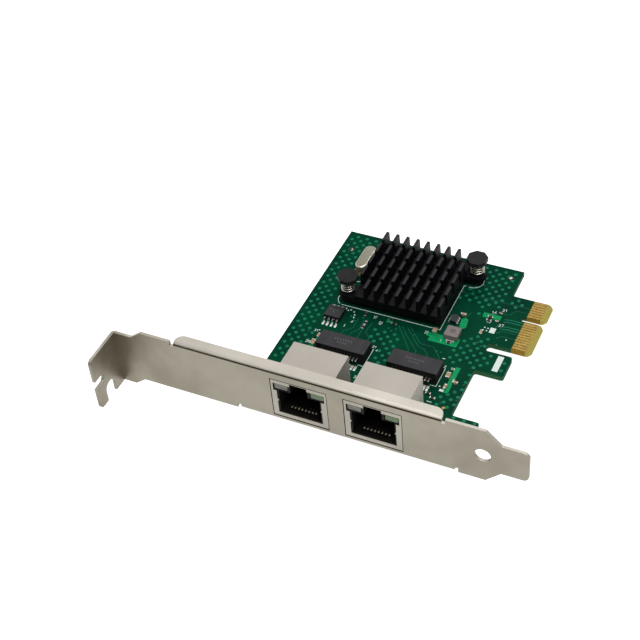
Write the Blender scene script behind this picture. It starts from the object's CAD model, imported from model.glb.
"""A two-port network interface card, dressed: finishes, board print, copper, pads and studio.

The card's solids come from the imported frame. The classes below give each of them its finish and
add what the solids leave out: the copper under the solder mask, the white print, vias, pads, the
smooth coil springs and the small marks that a maker leaves. Sizes in the classes are millimetres
in the card's own frame; the meshes are in metres.
"""

import logging
import math
from dataclasses import dataclass
from enum import Enum
from functools import cache, cached_property

import bmesh
import bpy
from mathutils import Matrix, Vector

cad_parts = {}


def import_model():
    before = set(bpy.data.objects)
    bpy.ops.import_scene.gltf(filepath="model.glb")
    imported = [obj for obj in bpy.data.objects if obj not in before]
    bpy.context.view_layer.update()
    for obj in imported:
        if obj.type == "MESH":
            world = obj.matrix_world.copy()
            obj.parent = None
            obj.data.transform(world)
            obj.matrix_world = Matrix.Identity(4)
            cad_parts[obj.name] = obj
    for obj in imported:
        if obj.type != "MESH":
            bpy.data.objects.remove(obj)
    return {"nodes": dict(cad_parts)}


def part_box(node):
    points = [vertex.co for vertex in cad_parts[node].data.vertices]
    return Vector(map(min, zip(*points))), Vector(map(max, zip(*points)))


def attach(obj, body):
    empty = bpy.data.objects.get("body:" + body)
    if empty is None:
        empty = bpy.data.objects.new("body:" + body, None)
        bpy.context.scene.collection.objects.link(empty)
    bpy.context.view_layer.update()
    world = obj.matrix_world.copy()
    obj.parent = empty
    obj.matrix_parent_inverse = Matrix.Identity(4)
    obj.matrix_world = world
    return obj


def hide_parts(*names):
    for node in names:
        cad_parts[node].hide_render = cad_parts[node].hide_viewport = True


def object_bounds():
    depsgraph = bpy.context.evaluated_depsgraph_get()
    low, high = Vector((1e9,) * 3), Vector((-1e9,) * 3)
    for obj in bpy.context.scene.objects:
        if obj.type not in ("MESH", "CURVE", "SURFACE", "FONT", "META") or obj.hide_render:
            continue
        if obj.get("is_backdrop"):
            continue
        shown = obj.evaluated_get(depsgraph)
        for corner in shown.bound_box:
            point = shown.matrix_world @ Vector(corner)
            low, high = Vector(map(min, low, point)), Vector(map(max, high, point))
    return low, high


MM = 0.001
ROOT = "root"
Triple = tuple[float, float, float]
Colour = Triple
Spot = tuple[float, float]
Region = tuple[float, float, float, float]
Socket = bpy.types.NodeSocket

EVEN: Triple = (1.0, 1.0, 1.0)
WHITE: Colour = (1.0, 1.0, 1.0)
MERGE = 0.0005
SHARP_TURN = 40.0

log = logging.getLogger("card")


class Tint(Enum):
    """The colours that a jack's light lens is moulded in."""

    CLEAR = (0.155, 0.145, 0.125)
    GREEN = (0.085, 0.15, 0.06)


# ---------------------------------------------------------------- making materials


class Recipe:
    """A material in the making: its node tree and short ways to add and join nodes."""

    def __init__(self, name: str) -> None:
        """Starts a material with one shader, and patterns that stay fixed to the piece.

        Args:
            name: the material's name.
        """
        self.material = bpy.data.materials.new(name)
        self.material.use_nodes = True
        self.tree = self.material.node_tree
        self.tree.nodes.clear()
        self.shader = self.add("ShaderNodeBsdfPrincipled")
        self.add("ShaderNodeOutputMaterial", Surface=self.shader.outputs["BSDF"])
        self.place = self.add("ShaderNodeTexCoord").outputs["Object"]
        self.raised: Socket | None = None

    def add(self, kind: str, **values: object) -> bpy.types.Node:
        """Adds a node and fills its sockets.

        Args:
            kind: the node's kind.
            **values: what goes into its sockets, by their names.

        Returns:
            The node.
        """
        node = self.tree.nodes.new(kind)
        self.fill(node, **values)
        return node

    def fill(self, node: bpy.types.Node, **values: object) -> None:
        """Fills a node's sockets, named with underscores for their spaces."""
        for name, value in values.items():
            self.feed(node.inputs[name.replace("_", " ")], value)

    def feed(self, socket: Socket, value: object) -> None:
        """Sets a socket, or joins it to another socket.

        Args:
            socket: the input to fill.
            value: a number, a colour, a vector or an output socket.
        """
        if isinstance(value, Socket):
            self.tree.links.new(value, socket)
        elif socket.type == "RGBA":
            socket.default_value = (*value, 1.0)
        else:
            socket.default_value = value

    def surface(self, **values: object) -> None:
        """Fills the shader's own sockets."""
        self.fill(self.shader, **values)

    def space(self, stretch: Triple = EVEN, centre: Spot = (0.0, 0.0)) -> Socket:
        """Gives a pattern space with its own units to a millimetre, and its own middle."""
        return self.add("ShaderNodeMapping", Vector=self.place, Scale=Vector(stretch) / MM,
                        Location=(-centre[0], -centre[1], 0.0)).outputs["Vector"]

    def noise(self, fineness: float, stretch: Triple = EVEN, detail: float = 3.0) -> Socket:
        """Adds a cloudy pattern: so many clouds a millimetre, with so many finer layers."""
        return self.add("ShaderNodeTexNoise", Scale=fineness, Detail=detail,
                        Vector=self.space(stretch)).outputs["Fac"]

    def grains(self, fineness: float) -> Socket:
        """Adds a pattern of small cells: the distance from their middles."""
        return self.add("ShaderNodeTexVoronoi", Scale=fineness,
                        Vector=self.space()).outputs["Distance"]

    def weave(self, fineness: float, waviness: float = 0.4) -> Socket:
        """Adds two crossing sets of threads.

        Args:
            fineness: threads in a millimetre.
            waviness: how far the threads stray.

        Returns:
            The threads' height, 0 to 1.
        """
        threads = []
        for direction in ("X", "Y"):
            wave = self.add("ShaderNodeTexWave", Scale=fineness, Distortion=waviness,
                            Vector=self.space())
            wave.bands_direction = direction
            threads.append(wave.outputs["Fac"])
        return self.product(*threads)

    def sum(self, kind: str, first: object, second: object = 0.0) -> Socket:
        """Adds a sum of one or two values.

        Args:
            kind: the operation's name.
            first: a number or an output socket.
            second: a number or an output socket.

        Returns:
            The sum's output.
        """
        node = self.add("ShaderNodeMath")
        node.operation = kind
        self.feed(node.inputs[0], first)
        self.feed(node.inputs[1], second)
        return node.outputs["Value"]

    def product(self, first: Socket, *others: Socket) -> Socket:
        """Multiplies patterns; the product of tests tells whether all of them hold.

        Args:
            first: the first pattern.
            *others: the other patterns.

        Returns:
            The product's output.
        """
        for other in others:
            first = self.sum("MULTIPLY", first, other)
        return first

    def above(self, value: Socket, limit: float) -> Socket:
        """Tests whether a value is above a limit."""
        return self.sum("GREATER_THAN", value, limit)

    def below(self, value: Socket, limit: float) -> Socket:
        """Tests whether a value is below a limit."""
        return self.sum("LESS_THAN", value, limit)

    def rest(self, share: Socket) -> Socket:
        """Gives what a share leaves of one."""
        return self.sum("SUBTRACT", 1.0, share)

    def span(self, value: Socket, low: float, high: float, least: float = 0.0,
             most: float = 1.0) -> Socket:
        """Stretches a pattern, so that low to high becomes least to most."""
        return self.add("ShaderNodeMapRange", Value=value, From_Min=low, From_Max=high,
                        To_Min=least, To_Max=most).outputs["Result"]

    def gloss(self, pattern: Socket, smooth: float, rough: float, low: float = 0.3,
              high: float = 0.7) -> Socket:
        """Gives a roughness that goes from smooth to rough as a pattern rises."""
        return self.span(pattern, low, high, smooth, rough)

    def mix(self, share: Socket, first: object, second: object) -> Socket:
        """Mixes two colours.

        Args:
            share: the second colour's share.
            first: a colour or a colour output.
            second: a colour or a colour output.

        Returns:
            The mixed colour.
        """
        node = self.add("ShaderNodeMix")
        node.data_type = "RGBA"
        self.feed(node.inputs["Factor"], share)
        self.feed(node.inputs[6], first)
        self.feed(node.inputs[7], second)
        return node.outputs[2]

    def fade(self, pattern: Socket, first: object, second: object, low: float = 0.35,
             high: float = 0.7, most: float = 1.0) -> Socket:
        """Fades one colour into another as a pattern goes from low to high."""
        return self.mix(self.span(pattern, low, high, most=most), first, second)

    def part(self, vector: Socket, axis: str) -> Socket:
        """Gives a vector's part along one axis."""
        return self.add("ShaderNodeSeparateXYZ", Vector=vector).outputs[axis]

    def facing(self, axis: str) -> Socket:
        """Gives how much of the surface's outward direction lies along one axis."""
        return self.part(self.add("ShaderNodeNewGeometry").outputs["Normal"], axis)

    def along(self, axis: str) -> Socket:
        """Gives the place on the piece along one axis, in millimetres."""
        return self.part(self.space(), axis)

    def relief(self, height: Socket, depth: float) -> None:
        """Raises the surface by a pattern, over the reliefs before it.

        Args:
            height: the pattern.
            depth: how deep it is, in millimetres.
        """
        bump = self.add("ShaderNodeBump", Strength=1.0, Distance=depth * MM, Height=height)
        if self.raised:
            self.feed(bump.inputs["Normal"], self.raised)
        self.raised = bump.outputs["Normal"]
        self.surface(Normal=self.raised)


@dataclass(frozen=True)
class Finish:
    """A finish by name, made into a material when it is first used."""

    name: str

    @cached_property
    def recipe(self) -> Recipe:
        """Starts the finish's recipe."""
        return Recipe(self.name)

    @cache
    def material(self) -> bpy.types.Material:
        """Builds the material."""
        self.lay()
        return self.recipe.material

    def lay(self) -> None:
        """Lays the finish's nodes; each kind of finish has its own."""
        raise NotImplementedError


@dataclass(frozen=True)
class PlatedSheet(Finish):
    """Plated steel sheet: fine rolling grain, faint clouds, a satin gloss and a darker fold."""

    pale: Colour
    deep: Colour
    tops: Colour
    smooth: float
    rough: float
    stretch: Triple = (0.08, 1.0, 1.0)
    side_metal: float = 1.0
    top_metal: float = 0.3
    dark: Colour = (0.045, 0.034, 0.022)
    stain: Colour = (0.155, 0.132, 0.090)
    fold_height: float = 16.0
    stain_start: float = -70.0
    stain_end: float = -104.0
    gap_depth: float = -56.2
    gap_start: float = -64.0
    gap_end: float = -14.0

    def lay(self) -> None:
        """Lays the plating, its worn tops, the dark fold, the stained end and the window walls."""
        recipe = self.recipe
        clouds = recipe.noise(0.06, detail=4.0)
        grain = recipe.noise(5.0, self.stretch, 4.0)
        tone = recipe.fade(clouds, self.pale, self.deep, high=0.68)
        tone = recipe.fade(grain, tone, self.deep, 0.3, 0.8, 0.22)
        lift = recipe.facing("Z")
        worn = recipe.fade(clouds, self.tops, self.deep, 0.3, 0.75, 0.35)
        tone = recipe.fade(lift, tone, worn, 0.5, 0.85)
        folded = recipe.product(recipe.above(lift, 0.12), recipe.below(lift, 0.55),
                                recipe.above(recipe.along("Z"), self.fold_height))
        tone = recipe.mix(folded, tone, self.dark)
        towards = recipe.span(recipe.along("X"), self.stain_start, self.stain_end, most=0.6)
        patches = recipe.span(recipe.noise(0.11, (1.6, 1.0, 1.0)), 0.38, 0.62, 0.35, 0.9)
        tone = recipe.mix(recipe.product(towards, patches), tone, self.stain)
        upright = recipe.below(recipe.sum("ABSOLUTE", recipe.facing("Y")), 0.5)
        gap = recipe.product(upright, recipe.above(recipe.along("X"), self.gap_start),
                             recipe.below(recipe.along("X"), self.gap_end),
                             recipe.below(recipe.along("Z"), self.fold_height),
                             recipe.below(recipe.along("Y"), self.gap_depth))
        tone = recipe.mix(gap, tone, self.dark)
        haze = recipe.span(lift, 0.5, 0.6, 1.0, self.top_metal)
        side = recipe.span(recipe.facing("X"), 0.4, 0.9, 1.0, self.side_metal)
        bared = recipe.product(recipe.rest(side), recipe.rest(gap))
        handled = recipe.gloss(recipe.noise(0.25, detail=5.0), self.smooth, self.rough)
        rougher = recipe.span(lift, 0.5, 0.85, most=0.16)
        recipe.surface(Base_Color=recipe.mix(bared, tone, self.tops),
                       Roughness=recipe.sum("ADD", handled, rougher),
                       Metallic=recipe.sum("MINIMUM", haze, side))
        recipe.relief(grain, 0.004)
        recipe.relief(recipe.noise(14.0, detail=2.0), 0.002)


@dataclass(frozen=True)
class SolderMask(Finish):
    """Glossy solder mask on a glass-cloth laminate, bare at the sawn sides and the bevel."""

    mask: Colour = (0.0006, 0.062, 0.028)
    deep: Colour = (0.0003, 0.040, 0.021)
    side: Colour = (0.045, 0.120, 0.050)
    laminate: Colour = (0.50, 0.40, 0.09)
    bare: Colour = (0.27, 0.165, 0.022)
    blade_start: float = -5.7
    blade_near: float = -12.6
    bevel_start: float = -1.72
    level: float = 0.85
    sawn_roughness: float = 0.7

    def lay(self) -> None:
        """Lays the mask over the cloth, the sawn sides, the bare blade and its bevel."""
        recipe = self.recipe
        weave = recipe.weave(0.9)
        clouds = recipe.noise(0.09)
        tone = recipe.fade(clouds, self.mask, self.deep, 0.38, 0.62)
        tone = recipe.fade(weave, tone, self.deep, 0.0, 1.0, 0.18)
        fibres = recipe.mix(recipe.noise(2.5, (1.0, 1.0, 9.0)), self.side, self.mask)
        sawn = recipe.below(recipe.sum("ABSOLUTE", recipe.facing("Z")), self.level)
        tone = recipe.mix(sawn, tone, fibres)
        blade = recipe.product(recipe.above(recipe.along("X"), self.blade_start),
                               recipe.above(recipe.along("Y"), self.blade_near))
        tone = recipe.mix(blade, tone, self.bare)
        worn = recipe.mix(recipe.noise(1.6, (6.0, 1.0, 1.0)), self.laminate, self.side)
        worn = recipe.fade(recipe.noise(3.0), self.laminate, worn, 0.2, 0.9)
        tone = recipe.mix(recipe.above(recipe.along("X"), self.bevel_start), tone, worn)
        gloss = recipe.sum("MAXIMUM", recipe.gloss(clouds, 0.16, 0.24),
                           recipe.sum("MULTIPLY", sawn, self.sawn_roughness))
        recipe.surface(Base_Color=tone, Roughness=gloss, Specular_IOR_Level=0.06)
        recipe.relief(weave, 0.006)


@dataclass(frozen=True)
class MaskedCopper(Finish):
    """Solder mask over copper: lighter than over bare laminate, with a hint of the metal."""

    tone: Colour
    deep: Colour
    roughness: float = 0.3

    def lay(self) -> None:
        """Lays two tones in soft clouds."""
        recipe = self.recipe
        clouds = recipe.noise(0.5, detail=4.0)
        recipe.surface(Base_Color=recipe.fade(clouds, self.tone, self.deep),
                       Roughness=recipe.gloss(clouds, self.roughness, self.roughness + 0.12),
                       Specular_IOR_Level=0.12)
        recipe.relief(recipe.noise(6.0), 0.003)


@dataclass(frozen=True)
class GoldPlate(Finish):
    """Thin hard gold with fine wiping marks along the way it slides."""

    bright: Colour = (0.46, 0.315, 0.098)
    dull: Colour = (0.35, 0.235, 0.070)

    def lay(self) -> None:
        """Lays faint stains under the wiping marks."""
        recipe = self.recipe
        wiped = recipe.noise(6.0, (0.12, 2.0, 1.0), 4.0)
        recipe.surface(Base_Color=recipe.fade(recipe.noise(0.8), self.bright, self.dull),
                       Metallic=1.0, Roughness=recipe.gloss(wiped, 0.34, 0.48))
        recipe.relief(wiped, 0.001)


@dataclass(frozen=True)
class Moulding(Finish):
    """Filled plastic: a fine moulded texture with faint flow clouds, darker on its walls."""

    tone: Colour
    dusty: Colour
    roughness: float
    texture: float = 0.012
    fineness: float = 5.0
    shine: float = 0.25
    wall: float = 1.0

    def lay(self) -> None:
        """Lays the flow clouds and the texture, and darkens the walls."""
        recipe = self.recipe
        flow = recipe.noise(0.35, (1.0, 0.5, 1.0), 5.0)
        sand = recipe.noise(self.fineness, detail=4.0)
        tone = recipe.fade(flow, self.tone, self.dusty, high=0.75)
        tone = recipe.fade(sand, tone, self.dusty, high=0.8, most=0.35)
        if self.wall < 1.0:
            dim = [channel * self.wall for channel in self.tone]
            tone = recipe.fade(recipe.facing("Z"), dim, tone, 0.3, 0.85)
        recipe.surface(Base_Color=tone, Specular_IOR_Level=self.shine,
                       Roughness=recipe.gloss(flow, self.roughness, self.roughness + 0.14))
        recipe.relief(sand, self.texture)


@dataclass(frozen=True)
class Anodised(Finish):
    """Black anodised aluminium: a dark satin skin, paler on the sawn crests of the fins."""

    crest: float
    crest_start: float = 0.35
    crest_full: float = 0.1
    tone: Colour = (0.0030, 0.0029, 0.0040)
    pale: Colour = (0.0080, 0.0075, 0.0095)
    bright: Colour = (0.042, 0.040, 0.045)

    def lay(self) -> None:
        """Lays the drawn lines and the blasted skin, and bares the crests."""
        recipe = self.recipe
        lines = recipe.noise(3.0, (1.0, 0.04, 1.0), 4.0)
        blast = recipe.grains(9.0)
        lift = recipe.span(recipe.facing("Z"), 0.2, 0.9, most=0.8)
        drawn = recipe.span(lines, 0.35, 0.75, most=0.5)
        skin = recipe.mix(recipe.sum("MAXIMUM", lift, drawn), self.tone, self.pale)
        high = recipe.span(recipe.along("Z"), self.crest - self.crest_start,
                           self.crest - self.crest_full)
        recipe.surface(Base_Color=recipe.mix(recipe.product(lift, high), skin, self.bright),
                       Roughness=recipe.gloss(blast, 0.34, 0.48, 0.0, 0.6),
                       Specular_IOR_Level=0.12)
        recipe.relief(lines, 0.008)
        recipe.relief(blast, 0.006)


@dataclass(frozen=True)
class DrawnMetal(Finish):
    """Bright plated metal: screws, coil springs, tails, pads and chip ends."""

    bright: Colour
    dull: Colour
    roughness: float
    unevenness: float = 0.01
    fineness: float = 2.0
    metal: float = 1.0

    def lay(self) -> None:
        """Lays two tones in clouds that also raise the surface."""
        recipe = self.recipe
        clouds = recipe.noise(self.fineness, detail=4.0)
        recipe.surface(Base_Color=recipe.fade(clouds, self.bright, self.dull),
                       Metallic=self.metal,
                       Roughness=recipe.gloss(clouds, self.roughness, self.roughness + 0.15))
        recipe.relief(clouds, self.unevenness)


@dataclass(frozen=True)
class BentTin(Finish):
    """Tinned lead: bright at its soldered foot, and dark where it stands before a dark body."""

    bright: Colour = (0.90, 0.90, 0.87)
    shade: Colour = (0.05, 0.05, 0.05)
    foot_start: float = 2.4
    foot_full: float = 2.1

    def lay(self) -> None:
        """Lays the shade, the paler shoulder and the bright foot."""
        recipe = self.recipe
        clouds = recipe.noise(3.0, detail=4.0)
        foot = recipe.span(recipe.along("Z"), self.foot_start, self.foot_full)
        shoulder = recipe.span(recipe.facing("Z"), 0.45, 0.9, most=0.35)
        lit = recipe.sum("MAXIMUM", shoulder, foot)
        recipe.surface(Base_Color=recipe.mix(lit, self.shade, self.bright),
                       Metallic=recipe.span(lit, 0.0, 1.0, 1.0, 0.45),
                       Roughness=recipe.gloss(clouds, 0.24, 0.38))
        recipe.relief(clouds, 0.01)


@dataclass(frozen=True)
class DrawnCan(Finish):
    """Drawn nickel can: a satin top, a bright rolled crown and warm dark sides."""

    top: Colour = (0.66, 0.64, 0.50)
    crown: Colour = (0.98, 0.96, 0.86)
    side: Colour = (0.34, 0.27, 0.17)

    def lay(self) -> None:
        """Lays the sides, the crown and the top, and faint clouds over them."""
        recipe = self.recipe
        clouds = recipe.noise(0.3, detail=2.0)
        lift = recipe.facing("Z")
        tone = recipe.fade(lift, self.side, self.crown, 0.25, 0.5)
        tone = recipe.fade(lift, tone, self.top, 0.9, 0.98)
        recipe.surface(Base_Color=recipe.fade(clouds, tone, self.side, most=0.2),
                       Metallic=recipe.span(lift, 0.9, 0.98, 0.6, 0.95),
                       Roughness=recipe.gloss(clouds, 0.26, 0.34))
        recipe.relief(clouds, 0.002)


@dataclass(frozen=True)
class ContactWire(Finish):
    """Plated contact spring, dull with a glint along its bend."""

    bend: float
    glint_edge: float = 0.17
    glint_full: float = 0.07
    dull: Colour = (0.014, 0.012, 0.010)
    bright: Colour = (0.42, 0.37, 0.28)

    def lay(self) -> None:
        """Lays the dull plating and the glint."""
        recipe = self.recipe
        wiped = recipe.noise(4.0, (1.0, 0.2, 1.0))
        away = recipe.sum("ABSOLUTE", recipe.sum("SUBTRACT", recipe.along("Z"), self.bend))
        recipe.surface(Base_Color=recipe.fade(away, self.dull, self.bright, self.glint_edge,
                                              self.glint_full),
                       Metallic=0.8, Roughness=recipe.gloss(wiped, 0.3, 0.45))
        recipe.relief(wiped, 0.003)


@dataclass(frozen=True)
class Ferrite(Finish):
    """Pressed ferrite with a darker round dimple in the middle of its top."""

    centre: Spot
    body: Colour = (0.25, 0.215, 0.205)
    dark: Colour = (0.14, 0.118, 0.114)
    dimple: float = 1.25
    raggedness: float = 0.3

    def lay(self) -> None:
        """Lays the dimple with its ragged rim, and the pressed grain."""
        recipe = self.recipe
        length = recipe.add("ShaderNodeVectorMath",
                            Vector=recipe.space((1.0, 1.0, 0.0), self.centre))
        length.operation = "LENGTH"
        ragged = recipe.span(recipe.noise(1.5), 0.0, 1.0, -self.raggedness, self.raggedness)
        radius = recipe.sum("ADD", length.outputs["Value"], ragged)
        sand = recipe.noise(6.0, detail=5.0)
        tone = recipe.fade(radius, self.body, self.dark, self.dimple, 0.0, 0.9)
        recipe.surface(Base_Color=recipe.fade(sand, tone, self.dark, 0.3, 0.8, 0.5),
                       Roughness=recipe.gloss(sand, 0.5, 0.68))
        recipe.relief(sand, 0.02)


@dataclass(frozen=True)
class LightLens(Finish):
    """Tinted moulded lens, dark at its foot, pale at its rim, with soft milky streaks inside."""

    tint: Tint
    low: float
    high: float
    dark: Colour = (0.012, 0.013, 0.012)
    paling: float = 2.2
    rim_start: float = 0.45
    rim_full: float = 0.3
    bending: float = 1.49

    def lay(self) -> None:
        """Lays the tint from the foot up, the rim and the streaks."""
        recipe = self.recipe
        milk = recipe.noise(0.9)
        paler = [channel * self.paling for channel in self.tint.value]
        rise = recipe.along("Z")
        tone = recipe.fade(rise, self.dark, self.tint.value, self.low, self.high)
        tone = recipe.fade(rise, tone, paler, self.high - self.rim_start,
                           self.high - self.rim_full, 0.8)
        recipe.surface(Base_Color=recipe.fade(milk, tone, paler, 0.4, 0.8, 0.4),
                       Roughness=recipe.gloss(milk, 0.14, 0.26), IOR=self.bending)
        recipe.relief(recipe.noise(1.8), 0.01)


@dataclass(frozen=True)
class PrintInk(Finish):
    """Legend ink with thin places and soft pores."""

    full: Colour = (0.86, 0.93, 0.89)
    thin: Colour = (0.50, 0.68, 0.59)

    def lay(self) -> None:
        """Lays the full ink and its thin places."""
        recipe = self.recipe
        pores = recipe.noise(5.0, detail=5.0)
        recipe.surface(Base_Color=recipe.fade(pores, self.full, self.thin, 0.45, 0.8),
                       Roughness=recipe.gloss(pores, 0.5, 0.65))
        recipe.relief(pores, 0.004)


@dataclass(frozen=True)
class Backdrop(Finish):
    """Pale studio paper over a light table."""

    tone: Colour = (0.50, 0.50, 0.50)
    glow: Colour = WHITE

    def lay(self) -> None:
        """Lays the paper's fibres over the light."""
        recipe = self.recipe
        fibre = recipe.noise(0.02, detail=2.0)
        recipe.surface(Base_Color=self.tone, Emission_Color=self.glow,
                       Emission_Strength=recipe.span(fibre, 0.0, 1.0, 0.96, 1.0),
                       Roughness=recipe.gloss(fibre, 0.9, 1.0, 0.0, 1.0))


# ---------------------------------------------------------------- making meshes


# A digit's strokes, its width, the step to the next and the pen's width, in digit heights.
DIGITS: dict[str, list[Spot]] = {
    "0": [(0.0, 0.25), (0.0, 0.75), (0.3, 1.0), (0.6, 0.75), (0.6, 0.25), (0.3, 0.0),
          (0.0, 0.25)],
    "1": [(0.1, 0.8), (0.35, 1.0), (0.35, 0.0)],
    "2": [(0.0, 0.8), (0.3, 1.0), (0.6, 0.75), (0.0, 0.0), (0.6, 0.0)],
    "3": [(0.0, 1.0), (0.6, 1.0), (0.25, 0.6), (0.6, 0.3), (0.3, 0.0), (0.0, 0.15)],
    "4": [(0.45, 0.0), (0.45, 1.0), (0.0, 0.3), (0.6, 0.3)],
    "5": [(0.6, 1.0), (0.05, 1.0), (0.0, 0.55), (0.6, 0.4), (0.4, 0.0), (0.0, 0.05)],
    "7": [(0.0, 1.0), (0.6, 1.0), (0.2, 0.0)],
}
DIGIT_WIDTH = 0.6
ADVANCE = 0.8
PEN = 0.14


def placed(name: str, data: bpy.types.ID) -> bpy.types.Object:
    """Makes an object of some data and puts it in the scene.

    Args:
        name: the object's name.
        data: its mesh, lamp or camera.

    Returns:
        The object.
    """
    made = bpy.data.objects.new(name, data)
    bpy.context.scene.collection.objects.link(made)
    return made


class Shape:
    """A mesh in the making, in millimetres, that ends as a piece of the card."""

    def __init__(self, base: float = 0.0, rise: float = 0.0) -> None:
        """Starts with an empty mesh.

        Args:
            base: the height that its pads and lines stand on.
            rise: how high they stand.
        """
        self.mesh = bmesh.new()
        self.base = base
        self.rise = rise

    def dot(self, spot: Spot, radius: float, sides: int = 8, narrowing: float = 0.85) -> None:
        """Adds a low round pad with a sloping side.

        Args:
            spot: the pad's centre.
            radius: its radius at the base.
            sides: how many sides it has.
            narrowing: the top's share of the base's radius.
        """
        centre = Matrix.Translation((*spot, self.base + self.rise / 2))
        turn = Matrix.Rotation(math.pi / sides, 4, "Z")
        bmesh.ops.create_cone(self.mesh, cap_ends=True, segments=sides, radius1=radius,
                              radius2=radius * narrowing, depth=self.rise,
                              matrix=centre @ turn)

    def slab(self, region: Region) -> None:
        """Adds a low rectangular pad.

        Args:
            region: its left, right, near and far sides.
        """
        left, right, near, far = region
        middle = ((left + right) / 2, (near + far) / 2, self.base + self.rise / 2)
        size = Matrix.Diagonal((right - left, far - near, self.rise, 1.0))
        bmesh.ops.create_cube(self.mesh, size=1.0, matrix=Matrix.Translation(middle) @ size)

    def ribbon(self, spots: list[Spot], width: float) -> None:
        """Adds a flat line along a path, with mitred corners.

        Args:
            spots: the points that the line's middle passes.
            width: its width.
        """
        points = [Vector(spot) for spot in spots]
        ways = [(after - before).normalized() for before, after in zip(points, points[1:])]
        strip = bmesh.ops.create_grid(self.mesh, x_segments=len(ways), y_segments=1,
                                      size=1.0)["verts"]
        for index, point in enumerate(points):
            first = ways[max(index - 1, 0)]
            second = ways[min(index, len(ways) - 1)]
            middle = (first + second).normalized()
            side = Vector((-middle.y, middle.x)) * width / 2 / max(middle.dot(second), 0.5)
            strip[index].co = (*(point - side), self.base)
            strip[index + len(points)].co = (*(point + side), self.base)
        faces = dict.fromkeys(face for vert in strip for face in vert.link_faces)
        raised = bmesh.ops.extrude_face_region(self.mesh, geom=list(faces))["geom"]
        lifted = [item for item in raised if isinstance(item, bmesh.types.BMVert)]
        bmesh.ops.translate(self.mesh, vec=(0.0, 0.0, self.rise), verts=lifted)

    def arc(self, centre: Spot, radius: float, start: float, end: float, width: float,
            steps: int = 18) -> None:
        """Adds a flat line along part of a circle.

        Args:
            centre: the circle's centre.
            radius: its radius.
            start: the first angle, in degrees.
            end: the last angle, in degrees.
            width: its width.
            steps: how many runs it has.
        """
        angles = [math.radians(start + (end - start) * step / steps) for step in range(steps + 1)]
        spots = [(centre[0] + radius * math.cos(angle), centre[1] + radius * math.sin(angle))
                 for angle in angles]
        self.ribbon(spots, width)

    def number(self, text: str, spot: Spot, height: float, turn: float = 0.0) -> None:
        """Adds a plain number drawn with single strokes.

        Args:
            text: its digits.
            spot: the middle of the number.
            height: how tall the digits are.
            turn: the number's turn about Z, in degrees.
        """
        start = -(ADVANCE * (len(text) - 1) + DIGIT_WIDTH) / 2
        upright = Matrix.Rotation(math.radians(turn), 2)
        for place, digit in enumerate(text):
            corners = [Vector((start + ADVANCE * place + across, up - 0.5)) * height
                       for across, up in DIGITS[digit]]
            self.ribbon([Vector(spot) + upright @ corner for corner in corners], height * PEN)

    def coil(self, axis: Spot, radius: float, wire: float, low: float, high: float,
             turns: float, steps: int = 28, sides: int = 10) -> None:
        """Spins a round wire into a coil.

        Args:
            axis: where the coil's axis stands.
            radius: the axis to the wire's middle.
            wire: the wire's diameter.
            low: the height of the wire's middle at the start.
            high: the same at the end.
            turns: how many turns it has.
            steps: how many runs a turn has.
            sides: how many sides the wire has.
        """
        stand = Matrix.Translation((axis[0] + radius, axis[1], low))
        lie = Matrix.Rotation(math.pi / 2, 4, "X")
        ring = bmesh.ops.create_circle(self.mesh, segments=sides, radius=wire / 2,
                                       matrix=stand @ lie)["verts"]
        edges = list(dict.fromkeys(edge for vert in ring for edge in vert.link_edges))
        count = round(turns * steps)
        rise = Vector((0.0, 0.0, (high - low) / count))
        grown = bmesh.ops.spin(self.mesh, geom=ring + edges, cent=(*axis, 0.0),
                               axis=(0.0, 0.0, 1.0), dvec=rise, angle=math.tau * turns,
                               steps=count)["geom_last"]
        last = [item for item in grown if isinstance(item, bmesh.types.BMEdge)]
        bmesh.ops.edgeloop_fill(self.mesh, edges=edges)
        bmesh.ops.edgeloop_fill(self.mesh, edges=last)

    def made(self, name: str, finish: Finish) -> bpy.types.Object:
        """Ends the mesh, in metres, and puts it in the scene.

        Args:
            name: the object's name.
            finish: its finish.

        Returns:
            The object.
        """
        bmesh.ops.scale(self.mesh, vec=(MM, MM, MM), verts=self.mesh.verts)
        data = bpy.data.meshes.new(name)
        self.mesh.to_mesh(data)
        self.mesh.free()
        data.materials.append(finish.material())
        return placed(name, data)

    def piece(self, name: str, slot: str, finish: Finish, smooth: bool = False,
              closed: bool = True) -> bpy.types.Object:
        """Ends the mesh and makes it a piece of the card.

        Args:
            name: the piece's name.
            slot: the record's material slot that it belongs to.
            finish: its finish.
            smooth: whether it is shaded as one round surface.
            closed: whether its corners are merged and its faces turned outwards.

        Returns:
            The finished piece.
        """
        if closed:
            bmesh.ops.remove_doubles(self.mesh, verts=self.mesh.verts, dist=MERGE)
            bmesh.ops.recalc_face_normals(self.mesh, faces=self.mesh.faces)
        made = self.made(name, finish)
        if smooth:
            made.data.shade_smooth()
            made.data.set_sharp_from_angle(angle=math.radians(SHARP_TURN))
        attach(made, ROOT)
        log.info("piece %s: %d faces", name, len(made.data.polygons))
        return made


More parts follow.
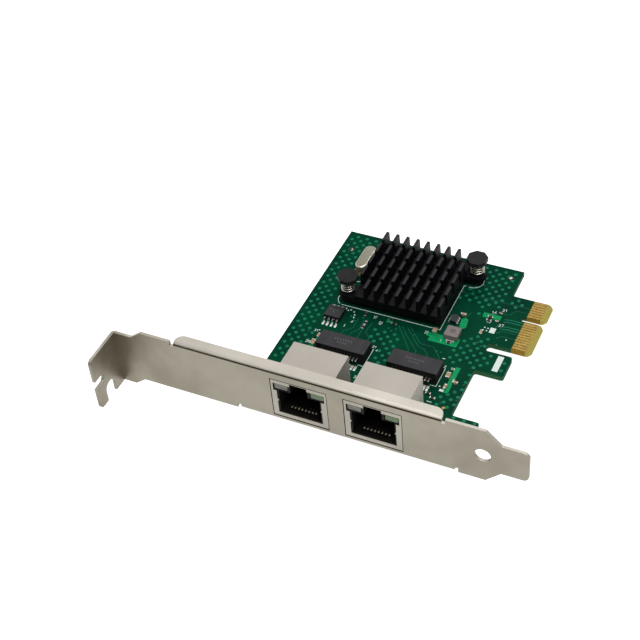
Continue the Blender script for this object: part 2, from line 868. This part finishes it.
@dataclass
class Solids:
    """The card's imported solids, and the ways to dress and measure them."""

    nodes: dict[str, bpy.types.Object]
    weld: float = 0.002
    edge_turn: float = 32.0
    edge_faces: int = 2

    def dress(self, name: str, finish: Finish, edge: float = 0.0) -> None:
        """Gives a solid its finish, and eases its sharp edges.

        Args:
            name: the solid's name.
            finish: its finish.
            edge: how wide the eased edges are.
        """
        solid = self.nodes[name]
        solid.data.materials.clear()
        solid.data.materials.append(finish.material())
        if edge:
            weld = solid.modifiers.new("weld", "WELD")
            weld.merge_threshold = self.weld * MM
            ease = solid.modifiers.new("ease", "BEVEL")
            ease.width = edge * MM
            ease.segments = self.edge_faces
            ease.limit_method = "ANGLE"
            ease.angle_limit = math.radians(self.edge_turn)
        log.info("solid %s dressed as %s", name, finish.name)

    def reach(self, name: str) -> tuple[Vector, Vector]:
        """Gives a solid's lowest and highest corners."""
        low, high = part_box(name)
        return low / MM, high / MM

    def middle(self, name: str) -> Spot:
        """Gives the middle of a solid, seen from above."""
        low, high = self.reach(name)
        return (low.x + high.x) / 2, (low.y + high.y) / 2

    def top(self, name: str) -> float:
        """Gives the height of a solid's top."""
        return self.reach(name)[1].z


def row(centre: float, count: int, pitch: float) -> list[float]:
    """Gives the places of evenly spaced leads about a centre."""
    return [centre + (step - (count - 1) / 2) * pitch for step in range(count)]


def inside(spot: Spot, regions: list[Region]) -> bool:
    """Tells whether a spot lies in one of some regions."""
    return any(left <= spot[0] <= right and near <= spot[1] <= far
               for left, right, near, far in regions)


# ---------------------------------------------------------------- the card's pieces


@dataclass
class Bracket:
    """The folded steel bracket and the two screws that hold the board to it."""

    solids: Solids
    eased: float = 0.10
    screw_eased: float = 0.08

    def build(self) -> None:
        """Dresses the bracket and its screws."""
        sheet = PlatedSheet("bracket_steel", (0.30, 0.277, 0.227), (0.25, 0.228, 0.183),
                            (0.78, 0.725, 0.64), smooth=0.36, rough=0.46)
        self.solids.dress("bracket", sheet, self.eased)
        screw = DrawnMetal("screw_steel", (0.74, 0.72, 0.68), (0.55, 0.53, 0.50), 0.28)
        self.solids.dress("bracket_screws", screw, self.screw_eased)


@dataclass
class Board:
    """The circuit board with its mask, the copper under the mask, vias, marks and contacts."""

    solids: Solids
    contact_eased: float = 0.02
    copper_rise: float = 0.03
    ink_rise: float = 0.045
    dot_pitch: float = 1.48
    dot_radius: float = 0.56
    dot_start: Spot = (-23.3, 17.05)
    dot_columns_right: int = 15
    dot_rows_far: int = 2
    trace_width: float = 0.22
    pair_width: float = 0.32
    pair_places: tuple[float, ...] = (-1.75, -2.75, -4.75, -5.75)
    oval_ends: tuple[Spot, Spot] = ((-21.6, -6.2), (-21.3, -8.6))
    oval_width: float = 2.0
    oval_end_share: float = 0.8
    via_radius: float = 0.27
    outline: float = 0.18
    module_outline: float = 0.16
    outline_reach: float = 7.4
    point_radius: float = 0.24
    aiming_spots: tuple[Spot, Spot] = ((-64.4, 11.15), (-15.3, 15.15))
    aiming_radius: float = 0.55
    window_radius: float = 1.15
    module_leads: tuple[int, float] = (12, 1.0)
    module_pad: Spot = (0.66, 1.9)
    module_rows: Spot = (-34.65, -24.95)
    memory_leads: tuple[int, float] = (4, 1.27)
    memory_pads: tuple[Region, ...] = ((-0.3, 0.3, -21.75, -20.55), (-0.25, 0.25, -13.7, -13.0))
    test_spot: Spot = (-15.2, -39.75)
    test_radius: float = 0.5

    def __post_init__(self) -> None:
        """Reads the board's height and sides, and the places of the magnetics."""
        low, high = self.solids.reach("circuit_board")
        self.top = high.z
        self.left = low.x
        self.near = low.y
        self.modules = [self.solids.middle(f"magnetics_{module}")[0] for module in (1, 2)]

    def build(self) -> None:
        """Dresses the board and lays its copper, vias, marks and pads."""
        self.solids.dress("circuit_board", SolderMask("board"))
        for side in ("top", "bottom"):
            self.solids.dress(f"edge_contacts_{side}", GoldPlate("gold"), self.contact_eased)
        self.lay_dots()
        self.lay_traces()
        self.lay_pours()
        self.lay_vias()
        self.lay_marks()
        self.lay_fiducials()
        self.lay_pads()

    def copper(self) -> Shape:
        """Starts a shape that stands as high as the copper does."""
        return Shape(self.top, self.copper_rise)

    def dotted(self, spot: Spot) -> bool:
        """Tells whether a ground dot belongs at a spot.

        Args:
            spot: the dot's centre.

        Returns:
            True inside a dotted area and clear of the parts and bare strips.
        """
        areas: list[Region] = [
            (-67.2, -56.0, -38.6, 18.3),
            (-56.0, -13.2, 14.6, 18.3),
            (-25.0, -13.2, -3.2, 18.3),
            (-29.5, -22.0, -1.0, 4.4),
            (-44.2, -35.2, -31.8, -17.6),
            (-17.6, -12.2, -40.3, -3.0),
            (-20.6, -13.1, -24.0, -13.0),
            (-12.9, -4.9, -22.9, -16.1),
            (-12.2, -7.6, 3.2, 7.0),
            (-13.6, -4.8, -43.4, -41.6),
        ]
        bare: list[Region] = [
            (-61.3, -55.6, -12.8, 11.6),
            (-60.9, -52.9, -24.6, -12.0),
            (-58.6, -40.0, -36.0, -24.2),
            (-17.6, -14.2, -32.6, -22.6),
            (-31.0, -19.4, -18.0, 1.6),
            (-17.7, -10.8, -10.6, 1.6),
            (-30.9, -18.2, -38.4, -23.2),
            (-63.2, -55.0, -6.6, -0.6),
            (-8.7, -5.6, -23.0, -15.6),
        ]
        return inside(spot, areas) and not inside(spot, bare)

    def lay_dots(self) -> None:
        """Lays the chequered ground dots under the mask."""
        shape = self.copper()
        columns = round((self.dot_start[0] - self.left) / self.dot_pitch)
        rows = round((self.dot_start[1] - self.near) / self.dot_pitch)
        for column in range(-columns, self.dot_columns_right):
            for line in range(-rows, self.dot_rows_far):
                spot = (self.dot_start[0] + column * self.dot_pitch,
                        self.dot_start[1] + line * self.dot_pitch)
                if (column + line) % 2 == 0 and self.dotted(spot):
                    shape.dot(spot, self.dot_radius)
        shape.piece("ground_dots", "board",
                    MaskedCopper("masked_dots", (0.007, 0.215, 0.112), (0.004, 0.165, 0.086)))

    def lay_traces(self) -> None:
        """Lays the signal traces under the mask, and the brighter pairs at the fingers."""
        paths: list[list[Spot]] = [
            [(-45.8, -16.0), (-46.2, -20.2), (-44.3, -22.3), (-44.3, -24.4)],
            [(-47.5, -16.0), (-47.5, -24.4)],
            [(-48.5, -16.0), (-48.3, -20.2), (-49.9, -22.0), (-49.9, -24.4)],
            [(-50.2, -16.0), (-50.2, -20.0), (-52.4, -22.3), (-52.4, -24.4)],
            [(-38.4, -14.6), (-32.1, -22.6), (-32.1, -24.4)],
            [(-37.2, -14.6), (-34.6, -17.8), (-30.0, -22.3), (-30.0, -24.4)],
            [(-35.6, -14.6), (-30.0, -20.6), (-28.1, -21.0), (-26.4, -22.8), (-26.4, -24.4)],
            [(-34.7, -14.2), (-30.0, -19.3), (-26.0, -19.3), (-23.0, -22.6), (-23.0, -24.4)],
            [(-5.9, 4.45), (-21.8, 4.45), (-26.4, 4.9)],
            [(-5.9, 2.45), (-9.2, 2.45), (-10.4, 0.2), (-12.6, 0.0)],
            [(-5.9, -6.75), (-10.2, -6.75), (-11.4, -7.8)],
            [(-5.9, -8.75), (-9.6, -8.75), (-10.8, -9.8)],
            [(-22.4, 4.3), (-24.9, 8.2)],
            [(-21.0, -2.6), (-22.2, -6.0)],
        ]
        shape = self.copper()
        for path in paths:
            shape.ribbon(path, self.trace_width)
        copper = MaskedCopper("masked_traces", (0.012, 0.130, 0.078), (0.006, 0.090, 0.050), 0.26)
        shape.piece("signal_traces", "board", copper, closed=False)
        pairs = self.copper()
        for near in self.pair_places:
            pairs.ribbon([(-5.9, near), (-9.4, near), (-11.2, near - 0.35)], self.pair_width)
        copper = MaskedCopper("masked_pairs", (0.016, 0.215, 0.125), (0.010, 0.160, 0.092), 0.26)
        pairs.piece("finger_pairs", "board", copper, closed=False)

    def lay_pours(self) -> None:
        """Lays the wide copper areas that show brighter through the mask."""
        shape = self.copper()
        regions: list[Region] = [
            (-28.6, -20.1, -17.3, -14.0), (-29.7, -28.6, -15.6, -14.0),
            (-17.4, -16.0, -34.6, -24.4), (-17.6, -12.3, -3.0, -1.1),
            (-59.2, -57.6, -34.6, -27.0), (-42.3, -40.7, -14.6, -13.0),
        ]
        for region in regions:
            shape.slab(region)
        shape.ribbon(self.oval_ends, self.oval_width)
        # The oval's round ends lie a little lower than its ribbon, so no two faces share a plane.
        shape.rise = self.copper_rise * self.oval_end_share
        for spot in self.oval_ends:
            shape.dot(spot, self.oval_width / 2, sides=20, narrowing=0.97)
        copper = MaskedCopper("masked_pours", (0.002, 0.34, 0.112), (0.001, 0.27, 0.092), 0.28)
        shape.piece("power_pours", "board", copper, closed=False)

    def lay_vias(self) -> None:
        """Lays the small plated holes where traces change sides."""
        spots: list[Spot] = [
            (-13.2, -2.6), (-12.4, -5.6), (-12.2, -5.0), (-26.4, 4.9), (-12.6, 0.0),
            (-11.4, -7.8), (-10.8, -9.8), (-52.6, -15.8), (-51.8, -15.8), (-51.0, -17.2),
            (-49.2, -15.2), (-40.6, -16.6), (-39.6, -17.4), (-38.6, -16.2), (-33.0, -16.6),
            (-24.6, -20.4), (-23.4, -20.4), (-61.6, -25.6), (-61.6, -27.2), (-44.8, -37.4),
            (-17.8, -34.2), (-16.6, -38.4), (-15.2, -13.2), (-13.9, -14.4), (-10.0, -12.4),
            (-6.8, -13.6), (-64.9, -30.4), (-64.9, -33.4), (-13.0, -30.0), (-13.0, -36.0),
        ]
        shape = self.copper()
        for spot in spots:
            shape.dot(spot, self.via_radius, sides=10, narrowing=0.6)
        copper = MaskedCopper("masked_vias", (0.035, 0.190, 0.120), (0.010, 0.110, 0.066), 0.24)
        shape.piece("vias", "board", copper)

    def lay_marks(self) -> None:
        """Prints the white outlines and plain marks round the parts."""
        shape = Shape(self.top, self.ink_rise)
        self.mark_cooler(shape)
        self.mark_magnetics(shape)
        self.mark_parts(shape)
        shape.piece("legend_print", "board", PrintInk("legend_ink"), closed=False)

    def mark_cooler(self, shape: Shape) -> None:
        """Prints the outline that the cooler stands in.

        Args:
            shape: the print in the making.
        """
        shape.ribbon([(-57.3, -12.25), (-26.8, -12.25), (-26.8, 7.4), (-26.3, 7.6)], self.outline)
        shape.arc((-24.9, 10.3), 3.0, -100.0, 22.0, self.outline)
        shape.arc((-56.0, -9.35), 3.3, 170.0, 235.0, self.outline)
        shape.arc((-57.4, 1.0), 2.7, 200.0, 300.0, self.outline)

    def mark_magnetics(self, shape: Shape) -> None:
        """Prints the corner outlines of the two magnetics.

        Args:
            shape: the print in the making.
        """
        for centre in self.modules:
            right = centre + self.outline_reach
            shape.ribbon([(right, -25.9), (right, -33.15), (right - 1.8, -33.15)],
                         self.module_outline)

    def mark_parts(self, shape: Shape) -> None:
        """Prints plain blocks, plain numbers and points beside the small parts.

        Args:
            shape: the print in the making.
        """
        blocks: list[Region] = [
            (-8.0, -6.3, -22.3, -16.3), (-13.7, -12.1, -8.5, -6.4),
            (-22.1, -21.3, -22.65, -22.4), (-20.3, -18.9, -39.1, -38.9),
            (-18.6, -17.4, -34.4, -33.6), (-59.0, -58.6, -24.3, -24.0),
        ]
        for region in blocks:
            shape.slab(region)
        numbers: list[tuple[str, Spot, float, float]] = [
            ("14", (-14.9, -0.3), 0.95, 12.0), ("21", (-12.3, 1.5), 0.95, 12.0),
            ("10", (-15.2, -4.4), 0.95, 12.0), ("27", (-11.3, -4.7), 0.95, 12.0),
            ("21", (-41.4, -25.0), 0.8, 0.0), ("4", (-40.3, -26.1), 0.8, 0.0),
            ("2", (-20.2, -25.3), 0.8, 0.0), ("10", (-18.0, -25.4), 0.8, 0.0),
            ("7", (-16.3, -29.5), 0.9, 0.0),
            ("3", (-41.9, -37.6), 0.9, 0.0), ("20", (-60.0, -29.4), 0.9, 0.0),
            ("4", (-51.5, -17.8), 0.9, 0.0), ("1", (-52.9, -20.1), 1.0, 0.0),
            ("15", (-45.9, -13.9), 0.85, 90.0), ("42", (-43.6, -15.6), 0.9, 90.0),
            ("7", (-41.5, -13.8), 0.9, 0.0), ("10", (-30.0, -14.6), 0.9, 90.0),
            ("1", (-25.1, -16.2), 0.7, 0.0),
            ("31", (-59.6, -24.6), 0.8, 0.0),
        ]
        for text, spot, height, turn in numbers:
            shape.number(text, spot, height, turn)
        points: list[Spot] = [
            (-15.4, -6.9), (-14.4, -7.0), (-15.5, -8.0), (-14.5, -8.0), (-51.9, -15.0),
            (-51.7, -16.1), (-52.5, -13.9), (-54.4, -13.9), (-53.7, -13.4), (-19.0, -32.7),
            (-8.1, -9.7),
        ]
        for spot in points:
            shape.dot(spot, self.point_radius, sides=10)

    def lay_fiducials(self) -> None:
        """Lays the bare copper points that the placing machine aims by, in bare windows."""
        shape = self.copper()
        moat = Shape(self.top, self.copper_rise / 3)
        for spot in self.aiming_spots:
            shape.dot(spot, self.aiming_radius, sides=20, narrowing=0.94)
            moat.dot(spot, self.window_radius, sides=24, narrowing=0.97)
        shape.piece("fiducials", "solder",
                    DrawnMetal("bare_pads", (0.80, 0.77, 0.70), (0.62, 0.58, 0.52), 0.34))
        bare = MaskedCopper("bare_laminate", (0.012, 0.035, 0.018), (0.020, 0.045, 0.022), 0.4)
        moat.piece("fiducial_windows", "board", bare)

    def lay_pads(self) -> None:
        """Lays the soldered pads of the magnetics and the memory chip, and the test pad."""
        shape = self.copper()
        width, depth = self.module_pad
        for centre in self.modules:
            for across in row(centre, *self.module_leads):
                for place in self.module_rows:
                    shape.slab((across - width / 2, across + width / 2,
                                place - depth / 2, place + depth / 2))
        for across in row(self.solids.middle("memory_chip")[0], *self.memory_leads):
            for left, right, near, far in self.memory_pads:
                shape.slab((across + left, across + right, near, far))
        matt = DrawnMetal("pad_solder", (1.0, 1.0, 0.97), (0.90, 0.91, 0.88), 0.4, metal=0.15)
        shape.piece("solder_pads", "solder", matt)
        button = Shape(self.top, self.copper_rise * 2)
        button.dot(self.test_spot, self.test_radius, sides=20, narrowing=0.9)
        button.piece("test_pad", "gold", GoldPlate("test_pad_gold"))


@dataclass
class Jacks:
    """The two shielded modular jacks with their lenses, contact springs and soldered tails."""

    solids: Solids
    bend_rise: float = 1.6
    green_drop: float = 1.0
    shell_eased: float = 0.06
    housing_eased: float = 0.12
    contact_eased: float = 0.05
    lens_eased: float = 0.1
    tail_eased: float = 0.08

    def build(self) -> None:
        """Dresses both jacks."""
        shell = PlatedSheet("jack_shell", (0.36, 0.338, 0.292), (0.31, 0.29, 0.25),
                            (0.58, 0.533, 0.478), smooth=0.42, rough=0.50,
                            stretch=(1.0, 0.1, 1.0), side_metal=0.15)
        housing = Moulding("jack_housing", (0.0045, 0.0040, 0.0038), (0.0085, 0.0075, 0.0070),
                           0.4, shine=0.12)
        spring = ContactWire("spring_gold", self.solids.top("circuit_board") + self.bend_rise)
        solder = DrawnMetal("solder", (0.78, 0.78, 0.76), (0.62, 0.62, 0.61), 0.24)
        low, high = self.solids.reach("jack_link_lens_1")
        clear = LightLens("clear_lens", Tint.CLEAR, low.z, high.z)
        green = LightLens("green_lens", Tint.GREEN, low.z - self.green_drop, high.z)
        for port in (1, 2):
            self.solids.dress(f"jack_shell_{port}", shell, self.shell_eased)
            self.solids.dress(f"jack_housing_{port}", housing, self.housing_eased)
            self.solids.dress(f"jack_contacts_{port}", spring, self.contact_eased)
            self.solids.dress(f"jack_link_lens_{port}", clear, self.lens_eased)
            self.solids.dress(f"jack_activity_lens_{port}", green, self.lens_eased)
            self.solids.dress(f"jack_tails_{port}", solder, self.tail_eased)


@dataclass
class Magnetics:
    """The two isolation transformer modules."""

    solids: Solids
    eased: float = 0.3
    lead_eased: float = 0.04

    def build(self) -> None:
        """Dresses both modules and their leads."""
        body = Moulding("magnetics_body", (0.030, 0.0285, 0.032), (0.058, 0.054, 0.058), 0.46,
                        texture=0.02, fineness=2.5, wall=0.3)
        for module in (1, 2):
            self.solids.dress(f"magnetics_{module}", body, self.eased)
            self.solids.dress(f"magnetics_leads_{module}", BentTin("lead_tin"), self.lead_eased)


@dataclass
class Cooler:
    """The controller, its pad, the pin-fin heat sink, and the sprung push pins."""

    solids: Solids
    wire: float = 0.5
    turns: float = 4.5
    chip_eased: float = 0.15
    fin_eased: float = 0.18
    pin_eased: float = 0.12

    def build(self) -> None:
        """Dresses the cooler and winds its springs."""
        chip = Moulding("controller_body", (0.018, 0.018, 0.019), (0.03, 0.03, 0.032), 0.5)
        self.solids.dress("controller_chip", chip, self.chip_eased)
        pad = Moulding("thermal_pad", (0.28, 0.30, 0.33), (0.35, 0.37, 0.40), 0.7)
        self.solids.dress("thermal_pad", pad)
        skin = Anodised("anodised", self.solids.top("heat_sink"))
        self.solids.dress("heat_sink", skin, self.fin_eased)
        nylon = Moulding("push_pin_nylon", (0.0095, 0.0095, 0.0105), (0.018, 0.018, 0.019), 0.36,
                         texture=0.008)
        for side in ("left", "right"):
            self.solids.dress(f"push_pin_{side}", nylon, self.pin_eased)
            self.wind(side)

    def wind(self, side: str) -> None:
        """Winds one push pin's spring in place of its plain solid.

        Args:
            side: which push pin it belongs to.
        """
        node = f"push_pin_spring_{side}"
        low, high = self.solids.reach(node)
        radius = (high.x - low.x - self.wire) / 2
        shape = Shape()
        shape.coil(self.solids.middle(node), radius, self.wire, low.z + self.wire / 2,
                   high.z - self.wire / 2, self.turns)
        steel = DrawnMetal("spring_steel", (0.86, 0.82, 0.72), (0.70, 0.66, 0.58), 0.16,
                           unevenness=0.004)
        spring = shape.piece(f"coil_spring_{side}", "spring_steel", steel, smooth=True)
        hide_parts(node)


@dataclass
class SmallParts:
    """The memory chip, regulator, crystal, power inductor and chip parts."""

    solids: Solids

    def build(self) -> None:
        """Dresses the small parts, each with its finish and the width of its eased edges."""
        memory = Moulding("memory_body", (0.028, 0.029, 0.032), (0.045, 0.046, 0.05), 0.48,
                          texture=0.015, fineness=3.0, wall=0.45)
        lead = BentTin("chip_lead_tin")
        tin = DrawnMetal("chip_end_tin", (0.72, 0.72, 0.70), (0.56, 0.56, 0.54), 0.3)
        can = DrawnCan("crystal_case")
        ferrite = Ferrite("ferrite", self.solids.middle("power_inductor"))
        tan = Moulding("ceramic_tan", (0.42, 0.27, 0.15), (0.52, 0.36, 0.22), 0.42)
        dark = Moulding("ceramic_black", (0.02, 0.018, 0.018), (0.04, 0.036, 0.035), 0.4)
        parts = [
            ("memory_chip", memory, 0.18), ("memory_chip_leads", lead, 0.04),
            ("regulator", memory, 0.1), ("regulator_leads", lead, 0.04),
            ("power_inductor", ferrite, 0.35), ("inductor_terminals", lead, 0.04),
            ("crystal_base", can, 0.05), ("crystal_can", can, 0.02),
            ("chip_capacitors", tan, 0.05), ("large_capacitors", tan, 0.08),
            ("chip_resistors", dark, 0.04), ("chip_part_ends", tin, 0.06),
        ]
        for name, finish, eased in parts:
            self.solids.dress(name, finish, eased)


@dataclass
class TopMarks:
    """The faint plain strokes on the tops of the dark parts, and the inductor's number."""

    solids: Solids
    rise: float = 0.012
    stroke: float = 0.42
    pitch: float = 0.8
    module_marks: tuple[int, float] = (7, 0.75)
    memory_marks: tuple[int, float] = (4, 0.5)
    first_line: float = 0.4
    line_step: float = 1.6
    shorter: int = 3
    number_height: float = 1.1

    def build(self) -> None:
        """Burns the strokes into the mouldings and prints the number."""
        shape = Shape(rise=self.rise)
        for node, (count, height) in (("magnetics_1", self.module_marks),
                                      ("magnetics_2", self.module_marks),
                                      ("memory_chip", self.memory_marks)):
            across, depth = self.solids.middle(node)
            shape.base = self.solids.top(node)
            for line, share in enumerate((count, count - self.shorter)):
                near = depth + height * (self.first_line - self.line_step * line)
                for step in range(share):
                    left = across + (step - share / 2) * self.pitch
                    shape.slab((left, left + self.stroke, near, near + height))
        burnt = PrintInk("burnt_mark", (0.085, 0.083, 0.090), (0.055, 0.053, 0.058))
        shape.piece("top_marks", "black_plastic", burnt, closed=False)
        mark = Shape(self.solids.top("power_inductor"), self.rise)
        mark.number("10", self.solids.middle("power_inductor"), self.number_height)
        ink = PrintInk("inductor_ink", (0.055, 0.050, 0.050), (0.10, 0.09, 0.09))
        mark.piece("inductor_mark", "ferrite", ink, closed=False)


# ---------------------------------------------------------------- the studio


@dataclass
class Camera:
    """The camera: where it stands and looks, in metres, its roll in degrees and its lens."""

    eye: Triple = (0.076428, -0.269302, 0.270378)
    aim: Triple = (-0.0612, -0.01893, 0.0)
    roll: float = -5.86
    lens: float = 76.7
    nearest: float = 0.01

    def build(self) -> None:
        """Places the camera and makes it the scene's own."""
        back = (Vector(self.eye) - Vector(self.aim)).normalized()
        level = Vector((0.0, 0.0, 1.0)).cross(back).normalized()
        right = Matrix.Rotation(math.radians(self.roll), 3, back) @ level
        turn = Matrix((right, back.cross(right), back)).transposed().to_4x4()
        data = bpy.data.cameras.new("camera")
        data.lens = self.lens
        data.clip_start = self.nearest
        camera = placed("camera", data)
        camera.matrix_world = Matrix.Translation(self.eye) @ turn
        bpy.context.scene.camera = camera


@dataclass
class Lamp:
    """A soft round lamp; its place from what it lights, and its size, are in metres."""

    name: str
    place: Triple
    size: float
    power: float

    def build(self, aim: Vector) -> None:
        """Hangs the lamp.

        Args:
            aim: the point that it lights.
        """
        data = bpy.data.lights.new(self.name, "AREA")
        data.shape = "DISK"
        data.size = self.size
        data.energy = self.power
        lamp = placed(self.name, data)
        lamp.location = aim + Vector(self.place)
        lamp.rotation_euler = (-Vector(self.place)).to_track_quat("-Z", "Y").to_euler()


@dataclass
class Studio:
    """A pale floor under soft light from all round; its sizes are in metres."""

    floor: float
    middle: Vector
    sky: Colour = WHITE
    sky_strength: float = 0.21
    floor_size: float = 6.0
    lamps: tuple[Lamp, ...] = (Lamp("key_lamp", (0.3, -0.35, 1.15), 0.8, 8.6),
                               Lamp("back_lamp", (-0.05, 1.55, 2.7), 0.85, 25.0))

    def build(self) -> None:
        """Lays the floor and lights the studio."""
        scene = bpy.context.scene
        scene.view_settings.view_transform = "Standard"
        shape = Shape()
        bmesh.ops.create_grid(shape.mesh, x_segments=1, y_segments=1,
                              size=self.floor_size / MM / 2,
                              matrix=Matrix.Translation((0.0, 0.0, self.floor / MM)))
        shape.made("studio_floor", Backdrop("studio_paper"))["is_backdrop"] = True
        scene.world = bpy.data.worlds.new("studio")
        scene.world.use_nodes = True
        background = scene.world.node_tree.nodes["Background"]
        background.inputs["Color"].default_value = (*self.sky, 1.0)
        background.inputs["Strength"].default_value = self.sky_strength
        for lamp in self.lamps:
            lamp.build(self.middle)


def main() -> None:
    """Loads the solids, builds and dresses the card, and sets up the studio."""
    logging.basicConfig(level=logging.INFO, format="%(name)s: %(message)s")
    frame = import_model()
    solid_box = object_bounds()
    solids = Solids(frame["nodes"])
    for part in (Bracket(solids), Board(solids), Jacks(solids), Magnetics(solids),
                 Cooler(solids), SmallParts(solids), TopMarks(solids)):
        log.info("building %s", type(part).__name__)
        part.build()
    low, high = solid_box
    Studio(low[2], (Vector(low) + Vector(high)) / 2).build()
    Camera().build()


if __name__ == "__main__":
    main()
